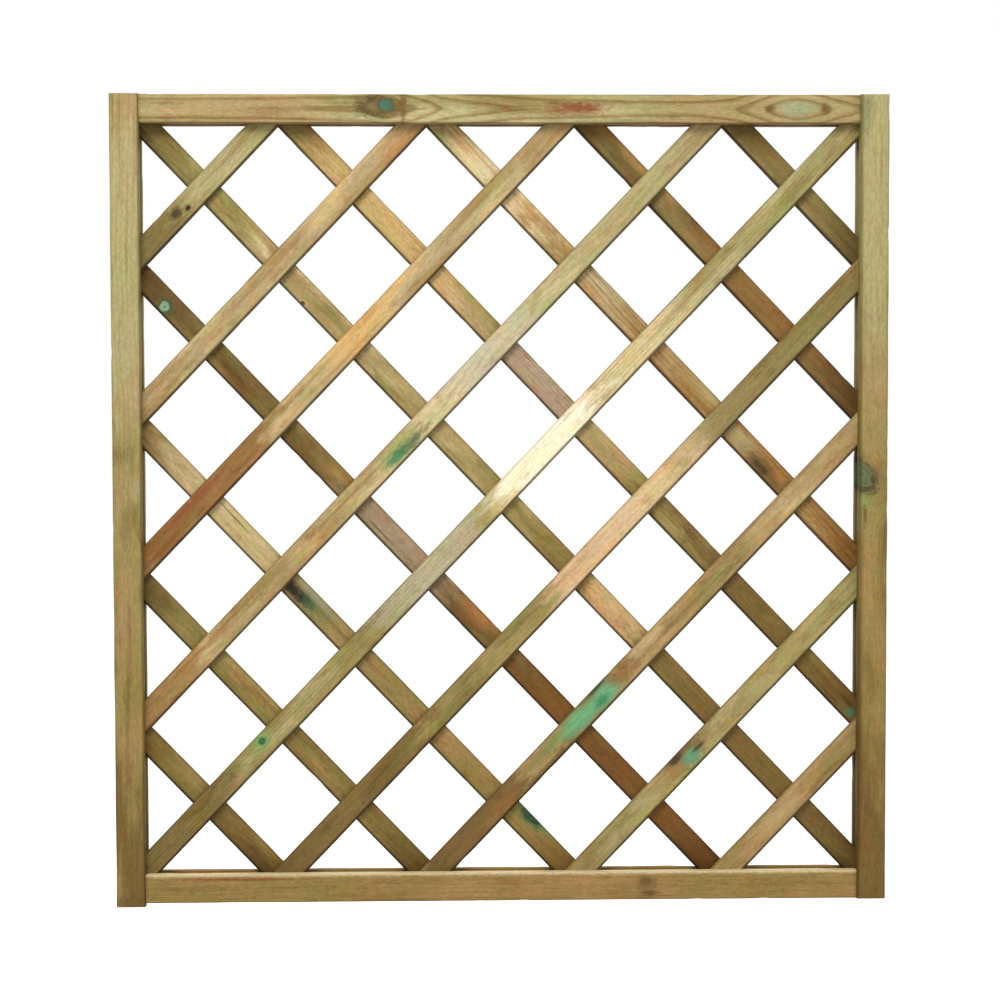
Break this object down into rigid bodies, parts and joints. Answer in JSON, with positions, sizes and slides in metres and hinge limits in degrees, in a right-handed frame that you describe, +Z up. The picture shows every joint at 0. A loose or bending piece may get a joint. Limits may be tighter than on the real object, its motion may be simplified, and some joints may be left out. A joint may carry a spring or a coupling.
{
  "type": "wooden lattice panel",
  "caption": "Framed garden trellis panel: crossed diagonal laths in two layers, held in the groove of a treated softwood frame, for posts, walls and climbing plants.",
  "frame": {"origin": "under the middle of the panel, level with the lower end of the left stile", "axes": "+X to the right seen from the front, +Y towards the back, +Z up"},
  "size_m": [0.9, 0.038, 0.9415],
  "materials": {
    "stile_wood": "sawn and planed, pressure treated, matt",
    "rail_wood": "sawn and planed, pressure treated, matt",
    "front_lath_wood": "sawn and planed, pressure treated, matt",
    "rear_lath_wood": "sawn and planed, pressure treated, matt",
    "staple_steel": "galvanised",
    "screw_steel": "zinc plated"
  },
  "bodies": {
    "root": {"left_stile": "stile_wood", "right_stile": "stile_wood", "top_rail": "rail_wood", "bottom_rail": "rail_wood", "front_lath_1": "front_lath_wood", "front_lath_2": "front_lath_wood", "front_lath_3": "front_lath_wood", "front_lath_4": "front_lath_wood", "front_lath_5": "front_lath_wood", "front_lath_6": "front_lath_wood", "front_lath_7": "front_lath_wood", "front_lath_8": "front_lath_wood", "front_lath_9": "front_lath_wood", "rear_lath_1": "rear_lath_wood", "rear_lath_2": "rear_lath_wood", "rear_lath_3": "rear_lath_wood", "rear_lath_4": "rear_lath_wood", "rear_lath_5": "rear_lath_wood", "rear_lath_6": "rear_lath_wood", "rear_lath_7": "rear_lath_wood", "rear_lath_8": "rear_lath_wood", "rear_lath_9": "rear_lath_wood", "crossing_staples": "staple_steel", "corner_screws": "screw_steel"}
  },
  "joints": []
}
